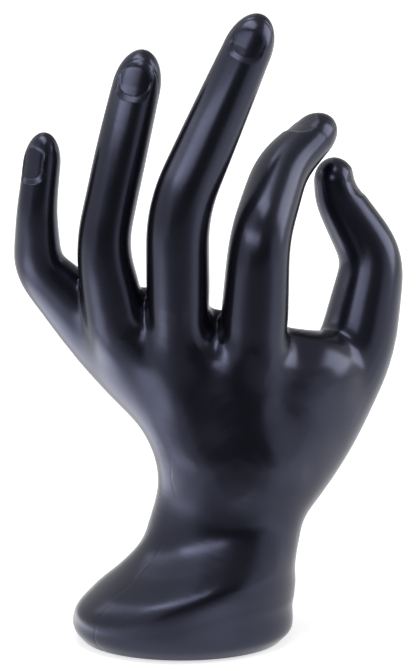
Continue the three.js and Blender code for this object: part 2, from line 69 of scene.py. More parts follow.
# The hand's limbs, in millimetres and degrees. start is x, y, z, width and depth. A bone is length, lean to
# +X, curl to +Y, and the width and depth at its far joint. tip is how long the rounded end is, back the way
# that the nail faces, and web how far along the finger comes free of the palm.
limbs = {
    "little": {
        "start": (9.7, 0.7, 51, 16, 23),
        "bones": [(48, -44.6, 14.2, 20.4, 17.4), (23.5, -43, -5, 14, 13), (15.5, 0, -7, 11, 11),
                  (21.5, 6.5, 8, 10, 9.2)],
        "tip": 9, "back": (-0.55, -0.8, 0.1), "web": 53,
        "nail": {"length": 13.0, "halfWidth": 3.1, "round": 3.0, "cut": 0.6, "crown": 0.75, "fall": 0},
    },
    "ring": {
        "start": (10.2, -3.3, 52.3, 19, 18),
        "bones": [(31, -40.3, 13.2, 17.8, 17.3), (11.2, -40.3, -2, 17.6, 16.8),
                  (24.8, -11.3, -1.5, 14.4, 14.2), (28, 12.2, 9.5, 13.8, 13.4), (26, 13.5, 14, 12.4, 11.4)],
        "tip": 11, "back": (-0.15, -0.98, 0.1), "web": 47,
        "nail": {"length": 13.6, "halfWidth": 4.3, "round": 5.4, "cut": 0.8, "crown": 0.72, "fall": 0},
    },
    "middle": {
        "start": (13.2, -5.2, 51.3, 20, 19),
        "bones": [(25, -23.2, 13.2, 18.3, 18.4), (11.2, -23.2, -2, 17.4, 18), (34.6, -0.5, -2, 16.6, 16.6),
                  (31.5, 24, 11.5, 14.5, 13.8), (25.6, 24.5, 15, 12.2, 11.2)],
        "tip": 11, "back": (-0.1, -0.99, 0.1), "web": 42,
        "nail": {"length": 13.4, "halfWidth": 4.3, "round": 4.8, "cut": 0.7, "crown": 0.75, "fall": 0},
    },
    "first": {
        "start": (17.2, -5.2, 50.3, 20, 19),
        "bones": [(22, 3.5, 13.2, 19.1, 18.7), (11.2, 3.5, -2, 18.6, 18.4), (28.3, 3.2, 0, 16.4, 16.4),
                  (24.4, 20.4, 44.5, 15.2, 14.2), (21.8, 50, 35, 11.4, 10)],
        "tip": 9, "back": (-0.5, -0.35, 0.8), "web": 34,
        "nail": {"length": 12.6, "halfWidth": 4.4, "round": 3.8, "cut": 0.9, "crown": 0.6, "fall": 0},
    },
    "thumb": {
        "start": (23.2, 2, 36.5, 20, 20),
        "bones": [(22.7, 32.1, 23.4, 26, 24), (28, 31.9, 22, 22.2, 21.5), (25.4, 11.5, 14.5, 17, 17.2),
                  (20.6, -31, 7, 13.8, 12.6), (10.3, -4, 3, 11.4, 9.6)],
        "tip": 7, "back": (0.95, -0.2, 0.2), "web": 50,
        "nail": {"length": 13.4, "halfWidth": 4.6, "round": 4.0, "cut": 0.3, "crown": 0.7, "fall": 0.04},
    },
}
# Flesh between neighbours: how far it reaches along each, the web's width and depth, how thick the sheet's
# edge is, what it adds palmwards, how far it sinks palmwards at the web, how much slimmer the web gets
# towards its ends, and how wide its fillet is
webs = [
    {"from": "little", "fromAt": 48.6, "to": "ring", "toAt": 42.3, "width": 12, "depth": 7, "edge": 7,
     "flesh": 2, "sink": 5, "taper": 0, "blend": 6},
    {"from": "ring", "fromAt": 46.5, "to": "middle", "toAt": 44.5, "width": 12, "depth": 7.5, "edge": 7.5,
     "flesh": 3.5, "sink": 6, "taper": 0, "blend": 6},
    {"from": "middle", "fromAt": 37, "to": "first", "toAt": 33, "width": 13, "depth": 8, "edge": 8,
     "flesh": 3.5, "sink": 6, "taper": 0, "blend": 6},
    {"from": "first", "fromAt": 17.2, "to": "thumb", "toAt": 44, "width": 29, "depth": 25, "edge": 14,
     "flesh": 0, "sink": -1.5, "taper": 0.5, "blend": 14},
]
# Foot and wrist: height, x, y, width, depth, turn
stump = np.array([
    (0, 0, 0, 53.6, 43, 0), (3, 0.2, 0, 59, 47.4, 0), (8, 0.8, 0, 60.2, 48.4, 0), (14, 3.2, 0, 55.2, 47.2, 0),
    (20.6, 7, 0, 47.8, 38.4, 0), (27, 10, 0, 42.4, 30.8, 0), (34, 12.2, 0, 41.6, 28.8, 0),
    (42, 14.2, -0.6, 41.8, 27.8, 0), (52, 14.2, -1.6, 42, 27, 0), (66, 11.2, -3, 32, 15, -10),
    (69, 11.2, -3, 32, 15, -10),
])
# How far it rounds off past its ends, where it is worked out, its samples, and a step to measure slopes
stumpEnds = {"dome": 10.0, "low": (-90, -90, -20), "high": (90, 90, 84), "samples": 661, "probe": 0.2}
# The instep stands higher at the thumb's side
instep = {"lift": 7.0, "across": (-16.0, 24.0), "from": (3.0, 12.0), "to": (30.0, 46.0)}
# Centre lines: their step, how much of a bone its bends take, the samples of a bend, the bell that softens
# them, how coarse the first search along them is, the tightest curve there, and how far outside counts
centreLine = {"step": 0.5, "jointBend": 0.3, "bendSteps": 60, "softReach": 8, "softness": 0.25, "coarse": 4,
              "tightest": 0.25, "margin": 14}
# Sheets of flesh: how many lines across, how much thinner they are than the fingers, how late they thin, how
# far outside counts, and where along a web is fullest
sheetLines = {"rows": 33, "relief": 1.2, "thinning": 5, "margin": 12, "webPeak": 0.55}
# Fillet widths, where along a finger its own begins, the value far outside, and how many points are worked
# out at once
skinBlend = {"palm": 9.0, "finger": 0.9, "fingerFrom": (0.72, 1.0), "stump": 9.0, "far": 60.0, "batch": 50000}
# Nails: how square the U is, how steep the finger may be beside it, how softly and how deep a plate sinks,
# the bevel round it, and the low fold of skin along its sides
nailShape = {"corner": 2.6, "flattest": 0.05, "soft": 0.02, "deepest": 3.0, "edge": 0.25, "bevel": 1.1,
             "bevelReach": 4.0, "step": 0.2, "fold": 0.06, "foldAt": 0.7, "foldWidth": 0.6,
             "foldFrom": (0.0, 3.0), "foldTo": (5.0, 9.0), "side": (0.0, 0.3), "before": 8}
# Parting surface: its turn in the wrist, how high that counts, how soft it is, its step along limbs, and the
# groove
parting = {"turn": 28.0, "wristTop": 52.0, "softness": 3.0, "step": 8.0, "groove": 0.06, "grooveWidth": 0.35}


# Smooth curve through values at rising knots: cubic pieces whose slopes are weighted by the spacing
def smoothCurve(knots, values, at):
    knots = np.asarray(knots, float)
    values = np.asarray(values, float)
    span = np.diff(knots)
    slope = np.diff(values) / span
    tangent = np.empty_like(values)
    tangent[0], tangent[-1] = slope[0], slope[-1]
    tangent[1:-1] = (slope[:-1] * span[1:] + slope[1:] * span[:-1]) / (span[1:] + span[:-1])
    i = np.clip(np.searchsorted(knots, at, side="right") - 1, 0, len(span) - 1)
    t = (at - knots[i]) / span[i]
    bow = (1 - t) * tangent[i] - t * tangent[i + 1]
    return values[i] + (values[i + 1] - values[i]) * t * t * (3 - 2 * t) + span[i] * t * (1 - t) * bow


def unit(v):
    return v / np.maximum(np.linalg.norm(v, axis=-1, keepdims=True), 1e-9)


def dot(a, b):
    return np.einsum("ij,ij->i", a, b)


# Smooth step from 0 at low to 1 at high
def ramp(low, high, x):
    t = np.clip((x - low) / (high - low), 0, 1)
    return t * t * (3 - 2 * t)


# A limb's centre line: straight bones joined by quadratic bends, sampled evenly and softened by a bell
# curve, with the frame and half girths there
def layLimb(limb):
    x, y, z, width, depth = limb["start"]
    bones = np.array(limb["bones"], float)
    lean, curl = np.radians(bones[:, 1]), np.radians(bones[:, 2])
    way = np.stack([np.sin(lean) * np.cos(curl), np.sin(curl), np.cos(lean) * np.cos(curl)], 1)
    corner = np.vstack([[(x, y, z)], (x, y, z) + np.cumsum(way * bones[:, :1], 0)])
    reach = centreLine["jointBend"] * np.minimum(bones[:-1, 0], bones[1:, 0])
    enter = corner[1:-1] - way[:-1] * reach[:, None]
    leave = corner[1:-1] + way[1:] * reach[:, None]
    t = np.linspace(0, 1, centreLine["bendSteps"])[:, None]
    pieces = []
    joints = [0.0]
    at = 0.0
    begin = corner[0]
    for k in range(len(reach)):
        pieces.append(begin + (enter[k] - begin) * t)
        at += np.linalg.norm(enter[k] - begin)
        bend = (1 - t) ** 2 * enter[k] + 2 * t * (1 - t) * corner[k + 1] + t ** 2 * leave[k]
        bendLength = np.linalg.norm(np.diff(bend, axis=0), axis=1).sum()
        joints.append(at + bendLength / 2)
        at += bendLength
        pieces.append(bend)
        begin = leave[k]
    pieces.append(begin + (corner[-1] - begin) * t)
    line = np.vstack(pieces)
    run = np.concatenate([[0], np.cumsum(np.linalg.norm(np.diff(line, axis=0), axis=1))])
    joints.append(run[-1])
    body = run[-1] - limb["tip"]
    s = np.linspace(0, body, int(body / centreLine["step"]) + 1)
    points = np.stack([np.interp(s, run, line[:, k]) for k in range(3)], 1)
    n = centreLine["softReach"]
    soft = np.exp(-0.5 * (np.arange(-n, n + 1) * centreLine["softness"]) ** 2)
    padded = np.vstack([2 * points[0] - points[n:0:-1], points, 2 * points[-1] - points[-2:-n - 2:-1]])
    points = np.stack([np.convolve(padded[:, k], soft / soft.sum(), "valid") for k in range(3)], 1)
    along = unit(np.gradient(points, axis=0))
    across = unit(np.cross(np.array(limb["back"], float), along))
    up = np.cross(along, across)
    girths = ((width, bones[:, 3]), (depth, bones[:, 4]))
    half = [smoothCurve(joints, [first, *column], s)[:, None] / 2 for first, column in girths]
    bend = np.gradient(along, s[1], axis=0)
    margin = max(column.max() for column in half) + centreLine["margin"]
    limb.update(points=points, s=s, step=s[1], body=body, full=run[-1],
                table=np.hstack([points, along, across, up, *half, bend]),
                box=(points.min(0) - margin, points.max(0) + margin))


# A limb's row at a distance along it, with the point itself on a cubic between its neighbours
def limbAt(limb, s):
    f = np.clip(s / limb["step"], 0, len(limb["s"]) - 1 - tiny)
    i = f.astype(int)
    f = (f - i)[:, None]
    low, high = limb["table"][i], limb["table"][i + 1]
    row = low + (high - low) * f
    chord = high[:, :3] - low[:, :3]
    row[:, :3] += f * (1 - f) * ((1 - f) * (low[:, 3:6] * limb["step"] - chord)
                                 - f * (high[:, 3:6] * limb["step"] - chord))
    return row


# Oval limb: with u across, v up and w past the end, each over its half girth, rho is their length. The
# distance is rho (rho - 1) over the length of the same coordinates divided once more.
def limbField(limb, p):
    coarse = centreLine["coarse"]
    centre = limb["points"][::coarse].astype(np.float32)
    gap = (centre ** 2).sum(1) - 2 * p.astype(np.float32) @ centre.T
    s = limb["s"][::coarse][np.argmin(gap, 1)]
    for _ in range(2):
        row = limbAt(limb, s)
        q = p - row[:, :3]
        curve = np.maximum(1 - dot(q, row[:, 14:17]), centreLine["tightest"])
        s = np.clip(s + dot(q, row[:, 3:6]) / curve, 0, limb["body"])
    row = limbAt(limb, s)
    q = p - row[:, :3]
    u, v, w = (dot(q, row[:, k:k + 3]) for k in (6, 9, 3))
    a, b = row[:, 12], row[:, 13]
    c = np.where(w > 0, limb["tip"], a)
    rho = np.sqrt((u / a) ** 2 + (v / b) ** 2 + (w / c) ** 2) + tiny
    pull = np.stack([u / a ** 2, v / b ** 2, w / c ** 2], 1)
    size = np.linalg.norm(pull, axis=1) + tiny
    normal = pull[:, :1] * row[:, 6:9] + pull[:, 1:2] * row[:, 9:12] + pull[:, 2:] * row[:, 3:6]
    return rho * (rho - 1) / size, normal / size[:, None], s, u, v, w, a, b


# A nail: inside a U the finger is cut down to a plate that is flatter across than the finger, with a bevel
# of skin before the cuticle. edge is the distance outside the U, t the distance past the cuticle, and the
# plate's height is the finger's less the cut, less crown times the finger's own drop to the side, and less
# fall times t.
def nailDepth(limb, d, s, u, v, w, a, b):
    nail, shape = limb["nail"], nailShape
    t = s + w - (limb["full"] - nail["length"])
    back = np.maximum(nail["round"] - t, 0) / nail["round"]
    n = shape["corner"]
    edge = nail["halfWidth"] * ((np.abs(u / nail["halfWidth"]) ** n + back ** n) ** (1 / n) - 1)
    drop = b * (1 - np.sqrt(np.maximum(1 - (u / a) ** 2, shape["flattest"])))
    depth = v - (b - nail["cut"] - nail["crown"] * drop - nail["fall"] * np.maximum(t, 0)) - d
    depth = 0.5 * (depth + np.sqrt(depth ** 2 + shape["soft"]))
    bevel = shape["edge"] + shape["bevel"] * ramp(shape["bevelReach"], 0.0, t)
    inside = np.clip((bevel - edge) / (bevel + shape["step"]), 0, 1)
    fold = -shape["fold"] * np.exp(-((edge - shape["foldAt"]) / shape["foldWidth"]) ** 2)
    fold = fold * ramp(*shape["foldFrom"], t) * (1 - ramp(*shape["foldTo"], t))
    sunk = np.minimum(depth, shape["deepest"]) * inside + fold
    return sunk * ramp(*shape["side"], v / b) * (t > -shape["before"])


# Flesh between two limbs: the distance to the nearest line across from one centre line to the other, less
# its half depth, which thins towards the web
def laySheet(web):
    share = np.linspace(0, 1, sheetLines["rows"])
    rows = [limbAt(limbs[web[name]], share * web[end]) for name, end in (("from", "fromAt"), ("to", "toAt"))]
    back = unit(np.cross(rows[1][:, :3] - rows[0][:, :3], rows[0][:, 3:6] + rows[1][:, 3:6]))
    thinned = share ** sheetLines["thinning"]
    depth = (rows[0][:, 13] + rows[1][:, 13]) * (1 - thinned) + web["edge"] * thinned
    half = depth / 2 - sheetLines["relief"]
    sunk = web["sink"] * (thinned[:, None] * back)
    web["sheet"] = np.hstack([rows[0][:, :3] - sunk, rows[1][:, :3] - sunk, back, half[:, None],
                              (web["flesh"] * (1 - thinned))[:, None]])
    web["ends"] = (web["sheet"][-1, :3], web["sheet"][-1, 3:6])
    reach = half.max() + web["flesh"] + sheetLines["margin"]
    ends = web["sheet"][:, :6].reshape(-1, 3)
    web["box"] = (ends.min(0) - reach, ends.max(0) + reach)


def sheetField(web, p):
    rows = web["sheet"]
    a, d = rows[:, :3], rows[:, 3:6] - rows[:, :3]
    length = np.maximum((d ** 2).sum(1), tiny)
    onto = p @ d.T - (a * d).sum(1)
    t = np.clip(onto / length, 0, 1)
    gap = (p ** 2).sum(1)[:, None] - 2 * p @ a.T + (a ** 2).sum(1) - t * (2 * onto - t * length)
    k = np.clip(np.argmin(gap, 1), 1, len(rows) - 2)
    n = np.arange(len(p))
    low, mid, high = gap[n, k - 1], gap[n, k], gap[n, k + 1]
    # The bottom of the parabola through three gaps
    f = k + 0.5 * (low - high) / np.maximum(low - 2 * mid + high, tiny)
    f = np.clip(f, 0, len(rows) - 1 - tiny)
    i = f.astype(int)
    row = rows[i] + (rows[i + 1] - rows[i]) * (f - i)[:, None]
    d = row[:, 3:6] - row[:, :3]
    t = np.clip(((p - row[:, :3]) * d).sum(1) / np.maximum((d ** 2).sum(1), tiny), 0, 1)
    q = p - row[:, :3] - d * t[:, None]
    far = np.linalg.norm(q, axis=1) + tiny
    palmwards = 0.5 * (1 - (q * row[:, 6:9]).sum(1) / far)
    return far - row[:, 9] - row[:, 10] * palmwards, q / far[:, None]


# Web: an oval bar between the sheet's last two points, slimmer towards its ends by a parabola
def webField(web, p):
    start, end = web["ends"]
    along = end - start
    length = np.linalg.norm(along)
    along = along / length
    across = unit(np.cross((0.0, -1.0, 0.0), along))
    up = np.cross(along, across)
    q = p - start
    share = np.clip(q @ along / length, 0, 1)
    q = q - (share * length)[:, None] * along
    peak = sheetLines["webPeak"]
    slim = 1 - web["taper"] * ((share - peak) / peak) ** 2
    high, deep = web["width"] / 2 * slim, web["depth"] / 2 * slim
    a, b, c = q @ across, q @ up, q @ along
    rho = np.sqrt((a / high) ** 2 + (b ** 2 + c ** 2) / deep ** 2) + tiny
    normal = np.stack([a / high ** 2, b / deep ** 2, c / deep ** 2], 1) @ np.stack([across, up, along])
    size = np.linalg.norm(normal, axis=1) + tiny
    return rho * (rho - 1) / size, normal / size[:, None]


# Foot and wrist: rho is the length of the coordinates over an oval's half width and half depth, which
# follow the height less the instep's lift, and of the height past either end over the dome
def stumpRho(p):
    lift = ramp(*instep["across"], p[:, 0]) * ramp(*instep["from"], p[:, 2])
    lift = lift * (1 - ramp(*instep["to"], p[:, 2]))
    top = stump[-1, 0]
    z = np.clip(p[:, 2] - instep["lift"] * lift, 0, top)
    x, y, width, depth, turn = (np.interp(z, stumpTable[0], column) for column in stumpTable[1:])
    dx, dy, w = p[:, 0] - x, p[:, 1] - y, (p[:, 2] - np.clip(p[:, 2], 0, top)) / stumpEnds["dome"]
    u, v = dx * np.cos(turn) + dy * np.sin(turn), dy * np.cos(turn) - dx * np.sin(turn)
    return np.sqrt((2 * u / width) ** 2 + (2 * v / depth) ** 2 + w ** 2) + tiny


def stumpField(p):
    probe = stumpEnds["probe"]
    rho = stumpRho(p)
    slope = np.stack([stumpRho(p + e) - stumpRho(p - e) for e in np.eye(3) * probe], 1) / (2 * probe)
    size = np.linalg.norm(slope, axis=1) + least
    return (rho - 1) / size, slope / size[:, None]


# Two surfaces joined with a fillet that is wider the more they face apart, so that surfaces side by side
# don't swell
def join(one, two, radius):
    apart = np.minimum(np.linalg.norm(one[1] - two[1], axis=1), 1)
    k = radius * apart + least
    h = np.clip(0.5 + 0.5 * (two[0] - one[0]) / k, 0, 1)
    normal = unit(one[1] * h[:, None] + two[1] * (1 - h)[:, None])
    return two[0] + (one[0] - two[0]) * h - k * h * (1 - h), normal


def fingerPart(limb, q, radius, detail):
    d, normal, *place = limbField(limb, q)
    if detail:
        d = d + nailDepth(limb, d, *place)
    past = ramp(*skinBlend["fingerFrom"], place[0] / limb["web"])
    return d, normal, radius + (skinBlend["finger"] - radius) * past


# The whole skin: below zero inside. With detail, nails are sunk into it.
def skinField(p, detail=True):
    out = np.empty(len(p))
    for i in range(0, len(p), skinBlend["batch"]):
        part = p[i:i + skinBlend["batch"]]
        skin = [np.full(len(part), skinBlend["far"]), np.zeros((len(part), 3))]

        def add(box, field, radius):
            near = np.flatnonzero(np.all((part > box[0]) & (part < box[1]), 1))
            if len(near):
                d, normal, k = field(part[near], radius)
                skin[0][near], skin[1][near] = join((skin[0][near], skin[1][near]), (d, normal), k)

        for web in webs:
            add(web["box"], lambda q, k, web=web: (*sheetField(web, q), k), skinBlend["palm"])
            add(web["box"], lambda q, k, web=web: (*webField(web, q), k), web["blend"])
        for limb in limbs.values():
            add(limb["box"], lambda q, k, limb=limb: fingerPart(limb, q, k, detail), skinBlend["palm"])
        add((stumpEnds["low"], stumpEnds["high"]), lambda q, k: (*stumpField(q), k), skinBlend["stump"])
        out[i:i + skinBlend["batch"]] = skin[0]
    return out


# Points that set the parting surface: limbs' centre lines and the wrist's turned middle
def layParting():
    points = [limb["points"][::int(parting["step"] / limb["step"])] for limb in limbs.values()]
    wrist = stump[stump[:, 0] <= parting["wristTop"]]
    slant = math.tan(math.radians(parting["turn"]))
    for side in (-1, 0, 1):
        offset = side * wrist[:, 3] / 2
        points.append(np.stack([wrist[:, 1] + offset, wrist[:, 2] + offset * slant, wrist[:, 0]], 1))
    return np.vstack(points)


# How far palmwards of the parting surface, whose depth is the mean of those points, weighted by one over the
# square of the squared distance
def partingSide(p):
    gap = (p[:, :1] - partingPoints[:, 0]) ** 2 + (p[:, 2:] - partingPoints[:, 2]) ** 2
    weight = 1 / (gap + parting["softness"] ** 2) ** 2
    return p[:, 1] - weight @ partingPoints[:, 1] / weight.sum(1)


stumpHeights = np.linspace(0, stump[-1, 0], stumpEnds["samples"])
stumpTable = [stumpHeights] + [smoothCurve(stump[:, 0], stump[:, k], stumpHeights) for k in range(1, 6)]
stumpTable[5] = np.radians(stumpTable[5])
for limb in limbs.values():
    layLimb(limb)
for web in webs:
    laySheet(web)
partingPoints = layParting()
print("limbs and flesh laid out")


# Surface through a grid of values: each cell that it crosses gets the mean of the crossings of its edges,
# and each crossed edge a face between its four cells
def netOverGrid(values, low, step):
    inside = values < 0
    corners = [(i, j, k) for i in (0, 1) for j in (0, 1) for k in (0, 1)]

    def cut(array, c):
        return array[tuple(slice(o, o + n - 1) for o, n in zip(c, array.shape))]

    count = sum(cut(inside, c).astype(np.int8) for c in corners)
    cell = np.argwhere((count > 0) & (count < 8))
    number = np.full(count.shape, -1)
    number[tuple(cell.T)] = np.arange(len(cell))
    total = np.zeros((len(cell), 3))
    hits = np.zeros(len(cell))
    for axis in range(3):
        for c in corners:
            if c[axis]:
                continue
            start = cell + c
            end = start.copy()
            end[:, axis] += 1
            one, two = values[tuple(start.T)], values[tuple(end.T)]
            crossed = (one < 0) != (two < 0)
            place = np.array(c, float) + np.zeros((len(cell), 3))
            place[:, axis] += np.where(crossed, one / np.where(crossed, one - two, 1), 0)
            total += place * crossed[:, None]
            hits += crossed
    points = low + step * (cell + total / hits[:, None])
    quads = []
    for axis in range(3):
        sides = [(axis + 1) % 3, (axis + 2) % 3]
        crossed = inside != np.roll(inside, -1, axis)
        crossed[tuple(slice(-1, None) if k == axis else slice(None) for k in range(3))] = False
        edge = np.argwhere(crossed)
        last = np.array(values.shape)[sides] - 1
        edge = edge[np.all((edge[:, sides] > 0) & (edge[:, sides] < last), 1)]
        ring = []
        for move in ((0, 0), (-1, 0), (-1, -1), (0, -1)):
            at = edge.copy()
            at[:, sides] += move
            ring.append(number[tuple(at.T)])
        ring = np.stack(ring, 1)
        outwards = inside[tuple(edge.T)]
        quads.append(np.where(outwards[:, None], ring, ring[:, ::-1]))
    return points, np.vstack(quads)


# Value and slope of the skin from four points at the corners of a small tetrahedron
def slopeOf(p, detail=True, h=0.06):
    ways = np.array([(1, -1, -1), (-1, -1, 1), (-1, 1, -1), (1, 1, 1)]) / math.sqrt(3)
    values = np.stack([skinField(p + h * way, detail) for way in ways], 1)
    return values.mean(1), values @ ways * (0.75 / h)


# Moves points onto the skin along its slope
def ontoSkin(p, rounds, detail=True, farthest=0.6, flattest=0.05):
    for _ in range(rounds):
        value, slope = slopeOf(p, detail)
        size = np.maximum((slope ** 2).sum(1), flattest)
        p = p - slope * np.clip(value / size, -farthest, farthest)[:, None]
    return p


def meshNormals(p, tris):
    a, b, c = p[tris[:, 0]], p[tris[:, 1]], p[tris[:, 2]]
    face = np.cross(b - a, c - a)

    def gather(k):
        return np.stack([np.bincount(tris[:, k], face[:, axis], len(p)) for axis in range(3)], 1)

    return unit(sum(gather(k) for k in range(3)))


# Each edge once, the edges of each triangle, and how many triangles share an edge
def edgesOf(tris):
    pair = np.sort(np.stack([tris, np.roll(tris, -1, 1)], 2).reshape(-1, 2), 1)
    key = pair[:, 0] * (tris.max() + 1) + pair[:, 1]
    _, first, back, count = np.unique(key, return_index=True, return_inverse=True, return_counts=True)
    return pair[first], back.reshape(-1, 3), count


# Each point drawn towards the mean of its neighbours, along the surface only
def relax(p, tris, normal, pull=0.5):
    edge = edgesOf(tris)[0]
    both = np.vstack([edge, edge[:, ::-1]])
    count = np.bincount(both[:, 0], minlength=len(p))[:, None]
    mean = np.stack([np.bincount(both[:, 0], p[both[:, 1], k], len(p)) for k in range(3)], 1) / count
    move = mean - p
    return p + pull * (move - normal * (move * normal).sum(1, keepdims=True))


# Triangles split at a share of their marked edges: one mark gives two, two give three and three give four
def splitAt(p, tris, edge, back, share):
    marked = ~np.isnan(share)
    number = np.full(len(edge), -1)
    number[marked] = len(p) + np.arange(marked.sum())
    t = share[marked][:, None]
    fresh = p[edge[marked, 0]] * (1 - t) + p[edge[marked, 1]] * t
    cut = number[back]
    count = (cut >= 0).sum(1)
    out = [tris[count == 0]]
    for n in (1, 2, 3):
        rows, mids = tris[count == n], cut[count == n]
        turn = np.zeros(len(rows), int)
        if n == 1:
            turn = np.argmax(mids >= 0, 1)
        if n == 2:
            turn = (np.argmin(mids, 1) + 1) % 3
        order = (np.arange(3) + turn[:, None]) % 3
        a, b, c = np.take_along_axis(rows, order, 1).T
        x, y, z = np.take_along_axis(mids, order, 1).T
        patterns = {1: [(a, x, c), (x, b, c)], 2: [(x, b, y), (a, x, y), (a, y, c)],
                    3: [(a, x, z), (x, b, y), (z, y, c), (x, y, z)]}
        out += [np.stack(corner, 1) for corner in patterns[n]]
    return np.vstack([p, fresh]), np.vstack(out)


# The grid's step, how many steps a rough block has, how far from the skin a block is still worked out, the
# grid's corners, the longest edges by nails and seam, and how far from them that holds
skinMesh = {"step": 1.0, "quickStep": 1.6, "block": 4, "reach": 4.6, "low": (-50, -30, -4),
            "high": (67, 56, 176), "nailEdge": 0.26, "nailReach": 4, "seamEdge": 0.5, "seamReach": 1.3}


def growSkin():
    step = skinMesh["step"]
    block = skinMesh["block"]
    low, high = (np.array(skinMesh[end], float) for end in ("low", "high"))
    count = np.ceil((high - low) / (step * block)).astype(int)
    middles = np.stack(np.meshgrid(*[np.arange(n) + 0.5 for n in count], indexing="ij"), -1).reshape(-1, 3)
    values = skinField(middles * step * block + low, False).reshape(count)
    near = np.abs(values) < skinMesh["reach"]
    for axis in range(3):
        values = np.repeat(values, block, axis)
        near = np.repeat(near, block, axis)
    node = np.argwhere(near)
    values[tuple(node.T)] = skinField(low + step * node, False)
    points, quads = netOverGrid(values, low, step)
    print("skin net:", len(points), "points")
    a, b, c, d = (points[quads[:, k]] for k in range(4))
    short = np.linalg.norm(a - c, axis=1) < np.linalg.norm(b - d, axis=1)
    one = np.where(short[:, None], quads[:, [0, 1, 2]], quads[:, [0, 1, 3]])
    two = np.where(short[:, None], quads[:, [0, 2, 3]], quads[:, [1, 2, 3]])
    tris = np.vstack([one, two])
    points = ontoSkin(points, 1, False)
    for _ in range(2):
        points = ontoSkin(relax(points, tris, meshNormals(points, tris)), 1, False)
    return points, tris


# Palm, wrist and webs are evened out: each point moves by a share of the way to the mean of its neighbours,
# again and again, and what that takes off in broad forms, evened out the same way, is put back
flesh = {"rounds": 40, "pull": 0.5, "fingers": (0.92, 1.3), "foot": (16.0, 30.0)}


def fleshShare(p):
    nearest = np.full(len(p), np.inf)
    share = np.zeros(len(p))
    for limb in limbs.values():
        d, _, s, *_ = limbField(limb, p)
        near = d < nearest
        nearest[near] = d[near]
        share[near] = 1 - ramp(*flesh["fingers"], s[near] / limb["web"])
    return share * ramp(*flesh["foot"], p[:, 2])


def evenOut(p, tris):
    share = fleshShare(p)
    edge = edgesOf(tris)[0]
    both = np.vstack([edge, edge[:, ::-1]])
    moving = np.flatnonzero(share > 0)
    order = np.full(len(p), -1)
    order[moving] = np.arange(len(moving))
    both = both[share[both[:, 0]] > 0]
    row = order[both[:, 0]]
    pull = (flesh["pull"] * share[moving])[:, None]
    count = np.bincount(row, minlength=len(moving))[:, None]

    def soften(v):
        v = v.copy()
        for _ in range(flesh["rounds"]):
            mean = np.stack([np.bincount(row, v[both[:, 1], k], len(moving)) for k in range(3)], 1) / count
            v[moving] += pull * (mean - v[moving])
        return v

    soft = soften(p)
    return soft + soften(p - soft)


# Box round a nail: how near the finger's end it is looked for, and how far it goes past side and cuticle
nailBox = {"fingerEnd": 22, "side": 1.2, "before": 2.5}


# How far a point lies outside the nearest nail's box
def nailZone(p):
    zone = np.full(len(p), np.inf)
    for limb in limbs.values():
        near = np.linalg.norm(p - limb["points"][-1], axis=1) < nailBox["fingerEnd"]
        _, _, s, u, v, w, *_ = limbField(limb, p[near])
        nail = limb["nail"]
        t = s + w - (limb["full"] - nail["length"])
        aside = np.abs(u) - nail["halfWidth"] - nailBox["side"]
        outside = np.maximum.reduce([aside, -t - nailBox["before"], -v])
        zone[near] = np.minimum(zone[near], outside)
    return zone


# Halves the wanted edges that are too long
def refine(p, tris, wanted, longest):
    edge, back, _ = edgesOf(tris)
    length = np.linalg.norm(p[edge[:, 0]] - p[edge[:, 1]], axis=1)
    marked = wanted[edge].all(1) & (length > longest)
    return splitAt(p, tris, edge, back, np.where(marked, 0.5, np.nan))


points, tris = growSkin()
points = evenOut(points, tris)
print("palm evened out")
for _ in range(2):
    points, tris = refine(points, tris, nailZone(points) < 0, skinMesh["nailEdge"])
nearSeam = np.abs(partingSide(points)) < skinMesh["seamReach"]
points, tris = refine(points, tris, nearSeam, skinMesh["seamEdge"])
zone = nailZone(points) < skinMesh["nailReach"]
points[zone] = ontoSkin(points[zone], 3)
print("skin grown:", len(tris), "triangles")


# Cuts the skin where a value at its points changes sign
def cutSkin(p, tris, value):
    edge, back, _ = edgesOf(tris)
    one, two = value[edge[:, 0]], value[edge[:, 1]]
    crossed = one * two < 0
    share = np.where(crossed, one / np.where(crossed, one - two, 1), np.nan)
    p, tris = splitAt(p, tris, edge, back, share)
    return p, tris, np.concatenate([value, np.zeros(crossed.sum())])


# The shell's wall, the height of its open lower edge, and the thicker rim there
shellWall = {"thick": 2.0, "bottom": 0.5, "rim": 2.6, "rimFrom": (7.0, 1.0)}

points, tris, height = cutSkin(points, tris, points[:, 2] - shellWall["bottom"])
tris = tris[height[tris].max(1) > 0]
points, tris, side = cutSkin(points, tris, partingSide(points))
half = np.where(np.abs(side[tris]).max(1) == side[tris].max(1), 1, -1)
even = fleshShare(points)[:, None]
normals = unit(slopeOf(points)[1] * (1 - even) + meshNormals(points, tris) * even)
innerWay = normals.copy()
zone = nailZone(points) < skinMesh["nailReach"]
innerWay[zone] = unit(slopeOf(points[zone], False)[1])

# The halves meet in a fine groove: the skin dips by a bell curve of the distance from the parting surface
bell = parting["groove"] * np.exp(-(side / parting["grooveWidth"]) ** 2)
across = unit(np.cross(np.cross(normals, (0.0, 1.0, 0.0)), normals))
tilt = -2 * side / parting["grooveWidth"] ** 2 * bell
points = points - normals * bell[:, None]
normals = unit(normals + across * tilt[:, None])
print("skin cut along the parting line")


